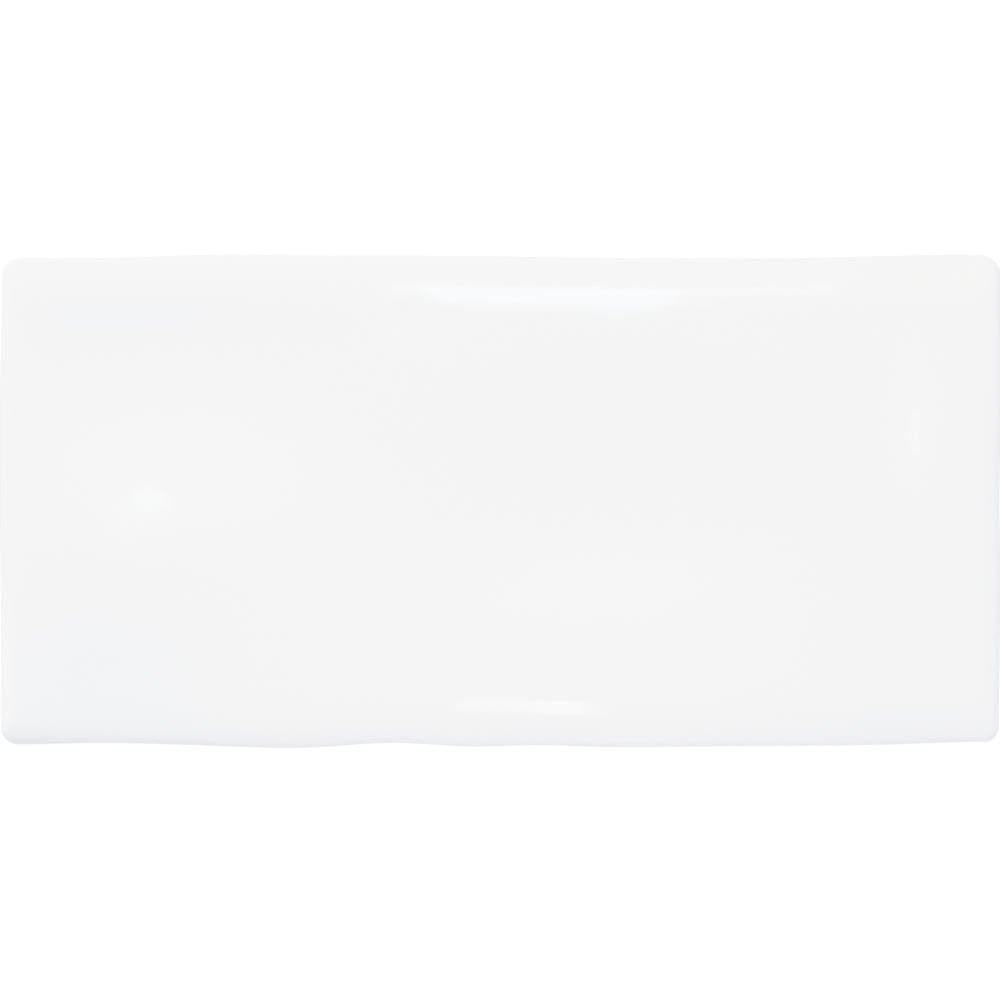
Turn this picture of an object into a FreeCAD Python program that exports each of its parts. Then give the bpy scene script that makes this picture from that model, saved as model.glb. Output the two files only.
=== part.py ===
"""Glazed subway wall tile, 150 x 75 mm format, with the soft irregular edges of a hand-pressed tile.

The tile lies on its back. +X runs along its length, +Y across it and +Z out of the glazed face.
The origin is the middle of the ribbed back, on the plane that beds against the wall.
The tile is one fired piece: a pressed clay body, glazed over its face and its rounded rim.
"""
import FreeCAD
import Part
import Sketcher
import enum
import math
import os

# The driving dimensions: name, value and meaning. Lengths are in millimetres.
SIZES = [
    ("face_length", 150.0, "mean length of the face"),
    ("face_width", 73.4, "mean width of the face"),
    ("crown_height", 8.5, "thickness at the flat of the face"),
    ("long_shoulder_reach", 9.0, "how far in from a long edge the face starts to fall"),
    ("long_shoulder_drop", 1.3, "how far the face has fallen at a long edge"),
    ("short_shoulder_reach", 5.0, "how far in from a short edge the face starts to fall"),
    ("short_shoulder_drop", 0.6, "how far the face has fallen at a short edge"),
    ("rim_radius", 1.6, "round where the face turns down into the sides"),
    ("back_bevel", 0.5, "bevel around the back"),
    ("upper_left_corner", 2.6, "corner radius in plan"),
    ("upper_right_corner", 3.7, "corner radius in plan"),
    ("lower_right_corner", 2.2, "corner radius in plan"),
    ("lower_left_corner", 2.5, "corner radius in plan"),
    ("back_border", 6.0, "plain margin around the key pockets of the back"),
    ("rib_width", 3.0, "rib between two key pockets"),
    ("pocket_depth", 0.7, "depth of a key pocket"),
    ("pocket_corner", 1.5, "corner radius of a key pocket"),
    ("pocket_draft", 30.0, "lean of a key pocket's walls, in degrees"),
    ("pocket_columns", 6, "key pockets along the tile, a count"),
    ("pocket_rows", 3, "key pockets across the tile, a count"),
]

# How far each control point of an edge stands outside the mean rectangle.
# They run from left to right or from bottom to top. The first and the last each place two points.
EDGE_WAVES = {
    "upper": [-0.30, -0.40, 0.45, 0.05, 0.15, 0.00, -0.25, -0.30, -0.35, 0.05, 0.25],
    "lower": [-0.15, -0.45, -0.20, 0.25, 0.60, -0.80, 0.45, -0.25, 0.45, 0.15, 0.05, 0.10, -0.20, -0.50],
    "left": [-0.05, -0.15, 0.00, 0.15, 0.00, -0.28],
    "right": [-0.28, -0.25, 0.15, -0.45, 0.15, 0.00, 0.20],
}

# Swells of the face: place along x and y, height (negative in a hollow), and spread along x and y.
SWELL_PARTS = ("x", "y", "height", "spread_x", "spread_y")
SWELLS = {
    "left_crown": (-47.0, 4.0, 0.15, 22.0, 11.0),
    "right_ridge": (62.0, 10.0, 0.10, 5.0, 12.0),
    "low_middle_crown": (18.0, -12.0, 0.10, 20.0, 7.0),
    "low_crown": (5.0, -20.0, 0.06, 38.0, 10.0),
    "middle_hollow": (17.0, 10.0, -0.10, 28.0, 12.0),
    "low_left_hollow": (-58.0, -24.0, -0.15, 17.0, 12.0),
    "high_left_hollow": (-55.0, 27.5, -0.08, 20.0, 6.0),
}


def last_wave(edge):
    """The name of the wave at an edge's right or upper end."""
    return f"{edge}_wave_{len(EDGE_WAVES[edge])}"


# Each edge: the size that it runs along, the size that it stands out by, and at its left or lower end
# and then at its right or upper end, the neighbour's wave and the corner that lie there.
EDGES = {
    "upper": {
        "along": "face_length",
        "across": "face_width",
        "start": (last_wave("left"), "upper_left_corner"),
        "end": (last_wave("right"), "upper_right_corner"),
    },
    "lower": {
        "along": "face_length",
        "across": "face_width",
        "start": ("left_wave_1", "lower_left_corner"),
        "end": ("right_wave_1", "lower_right_corner"),
    },
    "left": {
        "along": "face_width",
        "across": "face_length",
        "start": ("lower_wave_1", "lower_left_corner"),
        "end": ("upper_wave_1", "upper_left_corner"),
    },
    "right": {
        "along": "face_width",
        "across": "face_length",
        "start": (last_wave("lower"), "lower_right_corner"),
        "end": (last_wave("upper"), "upper_right_corner"),
    },
}

# The key pockets' grid: the size of the back each way, and how many pockets lie along it.
POCKET_GRID = [("face_length", "pocket_columns"), ("face_width", "pocket_rows")]

DEGREE = 3
SHOULDER_POWER = 3
# The press: how far its die overhangs the mean rectangle, and the spacing of the die's surface points.
DIE_OVERHANG = 4.0
DIE_GRID = 4.0
# Height of the blank, and of the die over its face, in thicknesses of the tile.
TOOL_HEIGHT = 1.5

# A sketch's number for its own origin.
ORIGIN = -1
UP = FreeCAD.Vector(0, 0, 1)


class At(enum.IntEnum):
    """A sketch's numbers for the points of a line, a curve or a circle."""
    START = enum.auto()
    END = enum.auto()
    CENTRE = enum.auto()


def list_sizes():
    """Every driving dimension: the sizes, the waves of the edges and the swells of the face."""
    rows = list(SIZES)
    for edge, waves in EDGE_WAVES.items():
        for number, wave in enumerate(waves, 1):
            rows.append((f"{edge}_wave_{number}", wave, f"{edge} edge, control point {number}"))
    for swell, values in SWELLS.items():
        for part, value in zip(SWELL_PARTS, values):
            rows.append((f"{swell}_{part}", value, f"{part} of a swell of the face"))
    return rows


def make_sheet(rows):
    """Gives every driving dimension a cell of its own, under its own name."""
    made = doc.addObject("Spreadsheet::Sheet", "sizes")
    for row, (name, value, meaning) in enumerate(rows, 1):
        made.set(f"A{row}", name)
        made.set(f"B{row}", str(value))
        made.set(f"C{row}", meaning)
        made.setAlias(f"B{row}", name)
    doc.recompute()
    return made


def cell(name):
    return f"<<sizes>>.{name}"


def sum_text(terms):
    """A sum of sizes, given as {name: factor}, written as an expression."""
    return " ".join(f"{factor:+.9f} * {cell(name)}" for name, factor in terms.items())


def sum_value(terms):
    """The present value of a sum of sizes."""
    return sum(factor * size[name] for name, factor in terms.items())


def side_of(edge):
    """Which side of the middle an edge is on: +1 or -1."""
    return 1 if edge in ("upper", "right") else -1


def edge_end(edge, which):
    """Where an edge starts or ends, as a sum of sizes: a corner radius in from the edge beside it."""
    wave, corner = EDGES[edge][which]
    way = 1 if which == "end" else -1
    return {EDGES[edge]["along"]: way * 0.5, wave: way, corner: -way}


def between(start, end, share):
    """The sum of sizes that lies a share of the way from one sum to another."""
    terms = {name: factor * (1 - share) for name, factor in start.items()}
    for name, factor in end.items():
        terms[name] = terms.get(name, 0) + factor * share
    return terms


def new_sketch(body, name):
    """An empty sketch on the plane of the tile's back."""
    sketch = body.newObject("Sketcher::SketchObject", name)
    plane = next(plane for plane in body.Origin.OriginFeatures if plane.Role == "XY_Plane")
    sketch.AttachmentSupport = [(plane, "")]
    sketch.MapMode = "FlatFace"
    return sketch


def bind(sketch, kind, places, terms):
    """Adds a constraint that follows a sum of sizes."""
    index = sketch.addConstraint(Sketcher.Constraint(kind, *places, sum_value(terms)))
    sketch.setExpression(f"Constraints[{index}]", sum_text(terms))


def even_shares(count):
    """Where the control points of a clamped cubic lie along its run, so that it runs at an even pace."""
    spans = count - DEGREE
    knots = [0] * DEGREE + list(range(spans + 1)) + [spans] * DEGREE
    return [sum(knots[i + 1:i + 1 + DEGREE]) / (DEGREE * spans) for i in range(count)]


def edge_places(edge):
    """The control points of an edge, each as two sums of sizes: its x and its y."""
    side = side_of(edge)
    stands_by = EDGES[edge]["across"]
    waves = len(EDGE_WAVES[edge])
    places = []
    for i, share in enumerate(even_shares(waves + 2)):
        along = between(edge_end(edge, "start"), edge_end(edge, "end"), share)
        wave = f"{edge}_wave_{min(max(i, 1), waves)}"
        across = {stands_by: side * 0.5, wave: side}
        places.append((along, across) if stands_by == "face_width" else (across, along))
    return places


def draw_edge(sketch, edge):
    """Draws an edge as a cubic spline whose control points wave about the mean rectangle."""
    places = edge_places(edge)
    points = [FreeCAD.Vector(sum_value(x), sum_value(y), 0) for x, y in places]
    spans = len(points) - DEGREE
    repeats = [DEGREE + 1] + [1] * (spans - 1) + [DEGREE + 1]
    curve = Part.BSplineCurve()
    curve.buildFromPolesMultsKnots(points, repeats, list(range(spans + 1)), False, DEGREE)
    spline = sketch.addGeometry(curve, False)
    handles = [sketch.addGeometry(Part.Circle(point, UP, 1.0), True) for point in points]
    sketch.addConstraint(Sketcher.Constraint("Weight", handles[0], 1.0))
    for i, handle in enumerate(handles):
        if i:
            sketch.addConstraint(Sketcher.Constraint("Equal", handles[0], handle))
        kind = "InternalAlignment:Sketcher::BSplineControlPoint"
        sketch.addConstraint(Sketcher.Constraint(kind, handle, At.CENTRE, spline, i))
        bind(sketch, "DistanceX", (ORIGIN, At.START, handle, At.CENTRE), places[i][0])
        bind(sketch, "DistanceY", (ORIGIN, At.START, handle, At.CENTRE), places[i][1])
    return spline


def quarter_arc(sketch, quarter, x, y, radius):
    """Adds a quarter circle. Quarter 0 runs anticlockwise from +X, and each next one follows on."""
    circle = Part.Circle(FreeCAD.Vector(x, y, 0), UP, radius)
    arc = Part.ArcOfCircle(circle, quarter * math.pi / 2, (quarter + 1) * math.pi / 2)
    return sketch.addGeometry(arc, False)


def draw_corner(sketch, quarter, first, second, radius):
    """Rounds a corner of the tile, anticlockwise between the ends of two edges."""
    begins, ends = sketch.getPoint(*first), sketch.getPoint(*second)
    x, y = (begins.x, ends.y) if quarter % 2 else (ends.x, begins.y)
    corner = quarter_arc(sketch, quarter, x, y, size[radius])
    sketch.addConstraint(Sketcher.Constraint("Coincident", corner, At.START, *first))
    sketch.addConstraint(Sketcher.Constraint("Coincident", corner, At.END, *second))
    bind(sketch, "Radius", (corner,), {radius: 1})


def draw_outline(body):
    """The tile in plan: four waving edges, joined by four rounded corners."""
    sketch = new_sketch(body, "outline")
    upper, lower, left, right = (draw_edge(sketch, edge) for edge in EDGES)
    draw_corner(sketch, 0, (right, At.END), (upper, At.END), "upper_right_corner")
    draw_corner(sketch, 1, (upper, At.START), (left, At.END), "upper_left_corner")
    draw_corner(sketch, 2, (left, At.START), (lower, At.START), "lower_left_corner")
    draw_corner(sketch, 3, (lower, At.END), (right, At.START), "lower_right_corner")
    doc.recompute()
    curves = dict(zip(EDGES, (sketch.Geometry[index] for index in (upper, lower, left, right))))
    return sketch, curves


def edge_at(edge, along):
    """How far out an edge lies at a place along it. Past its ends an edge runs straight on."""
    curve = outline_curves[edge]
    start, end = (sum_value(edge_end(edge, which)) for which in ("start", "end"))
    share = min(max((along - start) / (end - start), 0.0), 1.0)
    point = curve.value(share * curve.LastParameter)
    return abs(point.y if EDGES[edge]["across"] == "face_width" else point.x)


def shoulder_fall(distance, reach, drop):
    """How far the face has fallen at a distance in from an edge."""
    return drop * max(0.0, 1.0 - distance / reach) ** SHOULDER_POWER


def face_height(x, y):
    """Height of the glazed face above the back: flat, less its shoulders, plus its swells."""
    reach, drop = size["long_shoulder_reach"], size["long_shoulder_drop"]
    long_fall = shoulder_fall(edge_at("upper", x) - y, reach, drop)
    long_fall += shoulder_fall(edge_at("lower", x) + y, reach, drop)
    reach, drop = size["short_shoulder_reach"], size["short_shoulder_drop"]
    short_fall = shoulder_fall(edge_at("right", y) - x, reach, drop)
    short_fall += shoulder_fall(edge_at("left", y) + x, reach, drop)
    height = size["crown_height"] - math.hypot(long_fall, short_fall)
    for swell in SWELLS:
        at_x, at_y, rise, spread_x, spread_y = (size[f"{swell}_{part}"] for part in SWELL_PARTS)
        height += rise * math.exp(-((x - at_x) / spread_x) ** 2 - ((y - at_y) / spread_y) ** 2)
    return height


def grid_places(half):
    """Evenly spaced places across the die, from overhang to overhang."""
    reach = half + DIE_OVERHANG
    steps = math.ceil(2 * reach / DIE_GRID)
    return [reach * (2 * i / steps - 1) for i in range(steps + 1)]


def make_face_die():
    """The press's upper die: a block whose underside is the pillowed, gently swelling face."""
    xs = grid_places(size["face_length"] / 2)
    ys = grid_places(size["face_width"] / 2)
    surface = Part.BSplineSurface()
    surface.interpolate([[FreeCAD.Vector(x, y, face_height(x, y)) for y in ys] for x in xs])
    block = doc.addObject("Part::Feature", "face_die")
    block.Shape = surface.toShape().extrude(UP * size["crown_height"] * TOOL_HEIGHT)
    body = doc.addObject("PartDesign::Body", "press")
    body.BaseFeature = block
    doc.recompute()
    return body


def edges_where(feature, test):
    """Names of a feature's edges whose ends all pass a test of their height."""
    edges = enumerate(feature.Shape.Edges, 1)
    return [f"Edge{i}" for i, edge in edges if all(test(vertex.Z) for vertex in edge.Vertexes)]


def pocket_step(across, count):
    """From one key pocket to the next, along one side of the back: as an expression, and as a length."""
    text = f"({cell(across)} - 2 * {cell('back_border')} + {cell('rib_width')}) / {cell(count)}"
    return text, (size[across] - 2 * size["back_border"] + size["rib_width"]) / size[count]


def draw_pocket(body):
    """The key pocket nearest the lower left corner of the back: a rectangle with round corners."""
    sketch = new_sketch(body, "key_pocket_outline")
    rib, radius = size["rib_width"], size["pocket_corner"]
    step_text, step = zip(*(pocket_step(*names) for names in POCKET_GRID))
    low = [size["back_border"] - size[across] / 2 + radius for across, count in POCKET_GRID]
    high = [near + pitch - rib - 2 * radius for near, pitch in zip(low, step)]
    centres = [(high[0], high[1]), (low[0], high[1]), (low[0], low[1]), (high[0], low[1])]
    arcs = [quarter_arc(sketch, quarter, x, y, radius) for quarter, (x, y) in enumerate(centres)]
    sides = []
    for arc, following in zip(arcs, arcs[1:] + arcs[:1]):
        ends = sketch.getPoint(arc, At.END), sketch.getPoint(following, At.START)
        side = sketch.addGeometry(Part.LineSegment(*ends), False)
        sketch.addConstraint(Sketcher.Constraint("Tangent", arc, At.END, side, At.START))
        sketch.addConstraint(Sketcher.Constraint("Tangent", side, At.END, following, At.START))
        sides.append(side)
    top, left, bottom, right = sides
    for side in (top, bottom):
        sketch.addConstraint(Sketcher.Constraint("Horizontal", side))
    for side in (left, right):
        sketch.addConstraint(Sketcher.Constraint("Vertical", side))
    for arc in arcs[1:]:
        sketch.addConstraint(Sketcher.Constraint("Equal", arcs[0], arc))
    bind(sketch, "Radius", (arcs[0],), {"pocket_corner": 1})
    bind(sketch, "DistanceX", (ORIGIN, At.START, left, At.END), {"face_length": -0.5, "back_border": 1})
    bind(sketch, "DistanceY", (ORIGIN, At.START, bottom, At.START), {"face_width": -0.5, "back_border": 1})
    width = Sketcher.Constraint("DistanceX", left, At.END, right, At.START, step[0] - rib)
    height = Sketcher.Constraint("DistanceY", bottom, At.START, top, At.END, step[1] - rib)
    for span, text in zip((width, height), step_text):
        index = sketch.addConstraint(span)
        sketch.setExpression(f"Constraints[{index}]", f"{text} - {cell('rib_width')}")
    return sketch


def repeat_pocket(body, pocket):
    """Repeats the key pocket over the back, along the tile and then across it."""
    grid = body.newObject("PartDesign::MultiTransform", "key_pockets")
    grid.Originals = [pocket]
    rows = []
    for role, (across, count) in zip(("X_Axis", "Y_Axis"), POCKET_GRID):
        row = body.newObject("PartDesign::LinearPattern", f"{count}_row")
        row.Direction = (next(axis for axis in body.Origin.OriginFeatures if axis.Role == role), [""])
        row.Mode = "Spacing"
        row.setExpression("Occurrences", cell(count))
        row.setExpression("Offset", pocket_step(across, count)[0])
        rows.append(row)
    grid.Transformations = rows
    body.Tip = grid
    doc.recompute()


def check_build():
    """Stops if a feature failed, a sketch is loose, or the tile is not one sound solid."""
    for item in doc.Objects:
        if {"Invalid", "Error"} & set(item.State):
            raise RuntimeError(f"{item.Name} did not build: {item.State}")
        if item.TypeId == "Sketcher::SketchObject" and not item.FullyConstrained:
            raise RuntimeError(f"{item.Name} is not fully constrained")
    if not tile.Shape.isValid() or len(tile.Shape.Solids) != 1:
        raise RuntimeError("the tile is not one sound solid")


doc = FreeCAD.newDocument("subway_tile")
sheet = make_sheet(list_sizes())
size = {name: sheet.get(name) for name, value, meaning in list_sizes()}

# The blank: the outline, raised a little above the finished face.
tile = doc.addObject("PartDesign::Body", "tile")
tile.Label = "tile"
outline, outline_curves = draw_outline(tile)
blank = tile.newObject("PartDesign::Pad", "blank")
blank.Profile = outline
blank.setExpression("Length", f"{cell('crown_height')} * {TOOL_HEIGHT}")
doc.recompute()

# The face: the die takes off what stands above the pillowed surface.
press = make_face_die()
pressed_face = tile.newObject("PartDesign::Boolean", "pressed_face")
pressed_face.Type = "Cut"
pressed_face.setObjects([press])
doc.recompute()

# The rim: a soft round all along the edge of the face.
rim = tile.newObject("PartDesign::Fillet", "rim_round")
rim.Base = (pressed_face, edges_where(pressed_face, lambda height: height > size["crown_height"] / 2))
rim.setExpression("Radius", cell("rim_radius"))
doc.recompute()

# The back: a bevel all round, then a grid of shallow pockets that the adhesive keys into.
bevel = tile.newObject("PartDesign::Chamfer", "back_edge")
bevel.Base = (rim, edges_where(rim, lambda height: abs(height) < 1e-6))
bevel.setExpression("Size", cell("back_bevel"))
doc.recompute()

pocket = tile.newObject("PartDesign::Pocket", "key_pocket")
pocket.Profile = draw_pocket(tile)
pocket.Reversed = True
pocket.setExpression("Length", cell("pocket_depth"))
pocket.setExpression("TaperAngle", f"-{cell('pocket_draft')}")
doc.recompute()
repeat_pocket(tile, pocket)

check_build()
os.makedirs("parts", exist_ok=True)
tile.Shape.Solids[0].exportStep("parts/tile.step")
box = tile.Shape.optimalBoundingBox()
print(f"tile {box.XLength:.2f} x {box.YLength:.2f} x {box.ZLength:.2f} mm, {tile.Shape.Volume:.0f} mm3")
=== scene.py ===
# %% [markdown]
# # A glazed subway wall tile
# The tile is one fired piece, 150 mm long: a slab of pressed clay with white glaze over its face, its
# rounded rim and part of its sides. It lies on its back and the camera looks straight down on it.
# Nothing on it is printed or cut, so its look rests on three things: a face that is pillowed and gently
# uneven, edges that wander by a few tenths of a millimetre, and glossy glaze that shows both.

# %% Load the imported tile
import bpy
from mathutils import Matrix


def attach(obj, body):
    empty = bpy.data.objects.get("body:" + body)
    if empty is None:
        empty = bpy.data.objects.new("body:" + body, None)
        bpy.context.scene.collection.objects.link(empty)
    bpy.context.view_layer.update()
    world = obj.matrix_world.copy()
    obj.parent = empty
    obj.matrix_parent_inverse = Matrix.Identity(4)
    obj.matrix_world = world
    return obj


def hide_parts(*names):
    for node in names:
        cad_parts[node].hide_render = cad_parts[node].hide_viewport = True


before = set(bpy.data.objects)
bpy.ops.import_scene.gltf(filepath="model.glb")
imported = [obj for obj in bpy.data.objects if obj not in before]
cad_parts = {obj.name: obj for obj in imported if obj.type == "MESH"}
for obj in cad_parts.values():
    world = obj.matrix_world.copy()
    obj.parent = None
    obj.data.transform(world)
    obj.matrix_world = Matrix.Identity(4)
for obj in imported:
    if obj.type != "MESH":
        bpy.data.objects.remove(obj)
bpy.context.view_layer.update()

# %% Tools for shapes and nodes
import bpy
import bmesh
import numpy as np
from mathutils import Vector

MM, CM = 0.001, 0.01

# %% [markdown]
# ## The sizes
# A maker thinks of a tile in millimetres, so the shape is worked out in millimetres here and turned into
# metres once, when the mesh is made. These are the tile's own driving sizes. The wave of an edge is how
# far each control point of its curve stands outside the mean rectangle. The swells are the broad, shallow
# hills and hollows that hand pressing leaves in the face.

# %% Sizes of the slab, in millimetres
FACE_LENGTH, FACE_WIDTH = 150.0, 73.4
CROWN_HEIGHT = 8.5
LONG_SHOULDER = {"reach": 9.0, "drop": 1.3}
SHORT_SHOULDER = {"reach": 5.0, "drop": 0.6}
RIM_RADIUS = 1.6
CORNER_RADII = {"upper_left": 2.6, "upper_right": 3.7, "lower_right": 2.2, "lower_left": 2.5}
EDGE_WAVES = {
    "upper": [-0.30, -0.40, 0.45, 0.05, 0.15, 0.00, -0.25, -0.30, -0.35, 0.05, 0.25],
    "lower": [-0.15, -0.45, -0.20, 0.25, 0.60, -0.80, 0.45, -0.25, 0.45, 0.15, 0.05, 0.10, -0.20, -0.50],
    "left": [-0.05, -0.15, 0.00, 0.15, 0.00, -0.28],
    "right": [-0.28, -0.25, 0.15, -0.45, 0.15, 0.00, 0.20],
}
# Place along x and y, height, and spread along x and y of each swell.
SWELLS = [
    (-47.0, 4.0, 0.15, 22.0, 11.0),
    (62.0, 10.0, 0.10, 5.0, 12.0),
    (18.0, -12.0, 0.10, 20.0, 7.0),
    (5.0, -20.0, 0.06, 38.0, 10.0),
    (17.0, 10.0, -0.10, 28.0, 12.0),
    (-58.0, -24.0, -0.15, 17.0, 12.0),
    (-55.0, 27.5, -0.08, 20.0, 6.0),
]
print("slab:", FACE_LENGTH, "x", FACE_WIDTH, "x", CROWN_HEIGHT, "mm, with", len(SWELLS), "swells")

# %% [markdown]
# ## The wandering edges
# A straight bevelled slab would look machine cut. Each edge of this tile is a cubic spline with 8 to 16
# control points, and a small routine evaluates it, because the face height needs the same curve: the
# shoulder falls with the distance to the real edge. A curve object would draw the edge as well, but its
# points couldn't be asked for at any place along it.

# %% The curve of an edge
DEGREE = 3


def clamped_cubic(values, share):
    """A cubic spline that starts and ends on its control values, at shares of the way along it."""
    values = np.asarray(values, float)
    spans = len(values) - DEGREE
    knots = np.concatenate([np.zeros(DEGREE), np.arange(spans + 1), np.full(DEGREE, spans)])
    place = np.clip(share, 0, 1) * spans
    span = np.minimum(place.astype(int), spans - 1)
    found = [values[span + k] for k in range(DEGREE + 1)]
    for level in range(1, DEGREE + 1):
        for k in range(DEGREE, level - 1, -1):
            low, high = knots[span + k], knots[span + k + DEGREE + 1 - level]
            blend = (place - low) / (high - low)
            found[k] = (1 - blend) * found[k - 1] + blend * found[k]
    return found[DEGREE]


peak = clamped_cubic([0, 0, 1, 0, 0], 0.5)
print("over one control point that stands 1 out, the curve rises to", round(float(peak), 2))

# %% Where each edge runs
EDGE_SAMPLES = 200


def edge_run(edge, size, before, after, corners):
    """Where an edge along one size of the tile runs: a corner radius in from the edges beside it."""
    start = -(size / 2 + before) + CORNER_RADII[corners[0]]
    end = size / 2 + after - CORNER_RADII[corners[1]]
    half = (FACE_WIDTH if size == FACE_LENGTH else FACE_LENGTH) / 2
    waves = EDGE_WAVES[edge]
    return {"start": start, "end": end, "half": half, "waves": [waves[0], *waves, waves[-1]]}


first = {edge: waves[0] for edge, waves in EDGE_WAVES.items()}
last = {edge: waves[-1] for edge, waves in EDGE_WAVES.items()}
EDGES = {
    "lower": edge_run("lower", FACE_LENGTH, first["left"], first["right"], ("lower_left", "lower_right")),
    "upper": edge_run("upper", FACE_LENGTH, last["left"], last["right"], ("upper_left", "upper_right")),
    "left": edge_run("left", FACE_WIDTH, first["lower"], first["upper"], ("lower_left", "upper_left")),
    "right": edge_run("right", FACE_WIDTH, last["lower"], last["upper"], ("lower_right", "upper_right")),
}


def edge_out(edge, along):
    """How far out from the middle an edge lies, at places along it."""
    run = EDGES[edge]
    share = (np.asarray(along, float) - run["start"]) / (run["end"] - run["start"])
    return run["half"] + clamped_cubic(run["waves"], share)


for edge, run in EDGES.items():
    along = np.linspace(run["start"], run["end"], EDGE_SAMPLES)
    print(edge, "edge wanders by", round(float(np.ptp(edge_out(edge, along))), 2), "mm")

# %% [markdown]
# ## The face
# The face is a height over every point of the back: flat at the crown, falling ever faster over the
# shoulders, with the swells added. Over that lies the glaze, which is a little thicker here and thinner
# there, and ripples by a hundredth of a millimetre. None of that can be seen as shape, but it bends the
# edge of every reflection, which is how the eye tells fired glaze from sheet plastic. It could be a bump in
# the material. As real height it bends the reflections in the mesh itself, wherever the mesh is used.

# %% The pressed face
SHOULDER_POWER = 3


def mounds(x, y, listed):
    """The height of a list of round hills and hollows."""
    height = 0.0
    for at_x, at_y, rise, spread_x, spread_y in listed:
        height = height + rise * np.exp(-((x - at_x) / spread_x) ** 2 - ((y - at_y) / spread_y) ** 2)
    return height


def shoulder_fall(distance, shoulder):
    """How far the face has fallen at a distance in from an edge."""
    return shoulder["drop"] * np.maximum(0.0, 1.0 - distance / shoulder["reach"]) ** SHOULDER_POWER


def pressed_height(x, y):
    """Height of the pressed face over the back."""
    long_fall = shoulder_fall(edge_out("upper", x) - y, LONG_SHOULDER)
    long_fall = long_fall + shoulder_fall(edge_out("lower", x) + y, LONG_SHOULDER)
    short_fall = shoulder_fall(edge_out("right", y) - x, SHORT_SHOULDER)
    short_fall = short_fall + shoulder_fall(edge_out("left", y) + x, SHORT_SHOULDER)
    return CROWN_HEIGHT - np.hypot(long_fall, short_fall) + mounds(x, y, SWELLS)


print("pressed face at its middle", round(float(pressed_height(0, 0)), 2), "mm above the back")

# %% The glaze over the face
# Where the glaze lies thicker or thinner near the far shoulder, written as the swells are.
GLAZE_LUMPS = [
    (16.5, 24.8, 0.045, 8.0, 4.0),
    (-14.5, 27.5, -0.080, 4.5, 3.4),
    (28.5, 26.5, -0.020, 4.0, 4.0),
]
# The ripple's depth, and each of its waves: length, heading in degrees, and shift along it in radians.
RIPPLE_DEPTH = 0.012
RIPPLE_WAVES = [(9.0, 20, 0.3), (12.5, 75, 1.9), (7.5, 130, 4.1), (16.0, 160, 2.6), (10.5, 48, 5.2)]


def face_height(x, y):
    """Height of the glazed face: the pressed face with the glaze's lumps on it and its ripple cut in."""
    ripple = 0.0
    for length, heading, shift in RIPPLE_WAVES:
        along = x * np.cos(np.radians(heading)) + y * np.sin(np.radians(heading))
        ripple = ripple + np.sin(2 * np.pi * along / length + shift)
    lumps = mounds(x, y, GLAZE_LUMPS)
    return pressed_height(x, y) + lumps - RIPPLE_DEPTH * (0.5 + 0.5 * ripple / len(RIPPLE_WAVES))


for name, x, y in (("middle", 0, 0), ("left hill", *SWELLS[0][:2])):
    print("glazed face at its", name, round(float(face_height(x, y)), 2), "mm above the back")

# %% [markdown]
# ## The outline as a loop of points
# The whole tile is skinned from loops that all have the same number of points, so that each loop joins the
# next with plain quads. The loop starts at the middle of the lower left corner and runs anticlockwise.
# Each corner is an exact arc. The loops of the rim and the sides come from this one by moving its points
# inward along their normals and setting their height, as a potter's rib would cut the section all the way
# round. Those of the shoulder run from the rim to the plain grid of the face.

# %% Points of the outline
# How many quads lie along a long side, a short side and half a corner, and half a corner in degrees.
LONG_CELLS, SHORT_CELLS, ARC_CELLS = 240, 120, 6
HALF_CORNER = 45
CORNERS = {
    "lower_left": (EDGES["lower"]["start"], EDGES["left"]["start"]),
    "lower_right": (EDGES["lower"]["end"], EDGES["right"]["start"]),
    "upper_right": (EDGES["upper"]["end"], EDGES["right"]["end"]),
    "upper_left": (EDGES["upper"]["start"], EDGES["left"]["end"]),
}


def half_corner(corner, start):
    """Half of a corner's arc, from a start angle in degrees up to, but without, its end."""
    angles = np.radians(start + HALF_CORNER / ARC_CELLS * np.arange(ARC_CELLS))
    ring = np.stack([np.cos(angles), np.sin(angles)], axis=1)
    return np.array(CORNERS[corner]) + CORNER_RADII[corner] * ring


def edge_points(edge, cells, backwards):
    """An edge's points, without its last one, in the order in which the loop runs."""
    share = np.arange(cells) / cells
    share = 1 - share if backwards else share
    run = EDGES[edge]
    along = run["start"] + share * (run["end"] - run["start"])
    out = edge_out(edge, along)
    if edge in ("lower", "upper"):
        return np.stack([along, out if edge == "upper" else -out], axis=1)
    return np.stack([out if edge == "right" else -out, along], axis=1)


long_run, short_run = LONG_CELLS - 2 * ARC_CELLS, SHORT_CELLS - 2 * ARC_CELLS
outline = np.concatenate([
    half_corner("lower_left", 225), edge_points("lower", long_run, False), half_corner("lower_right", 270),
    half_corner("lower_right", 315), edge_points("right", short_run, False), half_corner("upper_right", 0),
    half_corner("upper_right", 45), edge_points("upper", long_run, True), half_corner("upper_left", 90),
    half_corner("upper_left", 135), edge_points("left", short_run, True), half_corner("lower_left", 180),
])
print("outline:", len(outline), "points")

# %% Its normals, and how far round each point lies
steps = np.roll(outline, -1, axis=0) - outline
lengths = np.linalg.norm(steps, axis=1)
headings = steps / lengths[:, None]
tangents = headings * np.roll(lengths, 1)[:, None] + np.roll(headings, 1, axis=0) * lengths[:, None]
tangents /= np.linalg.norm(tangents, axis=1)[:, None]
normals = np.stack([tangents[:, 1], -tangents[:, 0]], axis=1)
travel = np.concatenate([[0], np.cumsum(lengths)[:-1]])
girth = lengths.sum()
print("girth:", round(girth, 1), "mm")

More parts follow.
